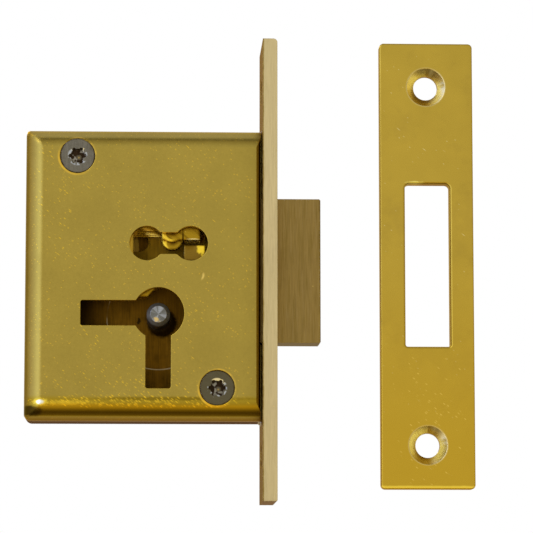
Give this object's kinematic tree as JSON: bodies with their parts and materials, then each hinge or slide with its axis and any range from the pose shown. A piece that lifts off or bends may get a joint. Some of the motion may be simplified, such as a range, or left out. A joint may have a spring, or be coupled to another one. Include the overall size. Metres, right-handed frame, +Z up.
{
  "type": "cabinet lock",
  "caption": "Brass mortice cupboard lock with an L-shaped keyhole over a drill pin, a sight hole, a thrown square bolt and a separate striking plate.",
  "frame": {"origin": "Centre of the forend's back face, midway between its two screw holes, where the forend seats in the door's edge.", "axes": "+X is the way the bolt is thrown, out of the forend; +Z is up along the forend; +Y runs from the cap with the keyhole to the case's back."},
  "size_m": [0.1005, 0.021, 0.1048],
  "materials": {
    "cap_brass": "satin, lacquered",
    "case_brass": "satin",
    "forend_brass": "brushed lengthwise",
    "bolt_brass": "drawn, fine vertical grain",
    "stump_brass": "milled",
    "lever_brass": "stamped and tumbled",
    "pillar_brass": "turned",
    "rivet_brass": "dressed flush",
    "strike_brass": "satin",
    "spring_bronze": "rolled strip",
    "solder": "dull solder",
    "screw_steel": "passivated",
    "pin_steel": "turned"
  },
  "bodies": {
    "lock_body": {"case": "case_brass", "cap": "cap_brass", "cap_screws": "screw_steel", "upper_pillar": "pillar_brass", "lower_pillar": "pillar_brass", "drill_pin": "pin_steel", "lever_pivot": "pin_steel", "lever_stop_pin": "pin_steel", "forend": "forend_brass", "forend_rivets": "rivet_brass", "forend_solder": "solder", "striking_plate": "strike_brass"},
    "bolt_assembly": {"bolt": "bolt_brass", "bolt_stump": "stump_brass"},
    "lever_body_1": {"lever_1": "lever_brass", "lever_spring_1": "spring_bronze"},
    "lever_body_2": {"lever_2": "lever_brass", "lever_spring_2": "spring_bronze"},
    "lever_body_3": {"lever_3": "lever_brass", "lever_spring_3": "spring_bronze"},
    "lever_body_4": {"lever_4": "lever_brass", "lever_spring_4": "spring_bronze"},
    "lever_body_5": {"lever_5": "lever_brass", "lever_spring_5": "spring_bronze"}
  },
  "joints": [
    {"name": "bolt_slide", "type": "slide", "parent": "lock_body", "child": "bolt_assembly", "axis": [1, 0, 0], "range_m": [-0.0097, 0]},
    {"name": "lever_lift_1", "type": "hinge", "parent": "lock_body", "child": "lever_body_1", "pos_m": [-0.0368, 0, 0.007], "axis": [0, -1, 0], "range_deg": [0, 12.05], "stiffness_Nm_per_rad": 0.005, "springref_deg": -28.65, "deforming": ["lever_spring_1"]},
    {"name": "lever_lift_2", "type": "hinge", "parent": "lock_body", "child": "lever_body_2", "pos_m": [-0.0368, 0, 0.007], "axis": [0, -1, 0], "range_deg": [0, 15.05], "stiffness_Nm_per_rad": 0.005, "springref_deg": -28.65, "deforming": ["lever_spring_2"]},
    {"name": "lever_lift_3", "type": "hinge", "parent": "lock_body", "child": "lever_body_3", "pos_m": [-0.0368, 0, 0.007], "axis": [0, -1, 0], "range_deg": [0, 13.05], "stiffness_Nm_per_rad": 0.005, "springref_deg": -28.65, "deforming": ["lever_spring_3"]},
    {"name": "lever_lift_4", "type": "hinge", "parent": "lock_body", "child": "lever_body_4", "pos_m": [-0.0368, 0, 0.007], "axis": [0, -1, 0], "range_deg": [0, 14.05], "stiffness_Nm_per_rad": 0.005, "springref_deg": -28.65, "deforming": ["lever_spring_4"]},
    {"name": "lever_lift_5", "type": "hinge", "parent": "lock_body", "child": "lever_body_5", "pos_m": [-0.0368, 0, 0.007], "axis": [0, -1, 0], "range_deg": [0, 12.55], "stiffness_Nm_per_rad": 0.005, "springref_deg": -28.65, "deforming": ["lever_spring_5"]}
  ],
  "couplings": [
    {"joint": "lever_lift_1", "follows": "bolt_slide", "rad_per_m": -21.592},
    {"joint": "lever_lift_2", "follows": "bolt_slide", "rad_per_m": -26.99},
    {"joint": "lever_lift_3", "follows": "bolt_slide", "rad_per_m": -23.391},
    {"joint": "lever_lift_4", "follows": "bolt_slide", "rad_per_m": -25.19},
    {"joint": "lever_lift_5", "follows": "bolt_slide", "rad_per_m": -22.491}
  ]
}
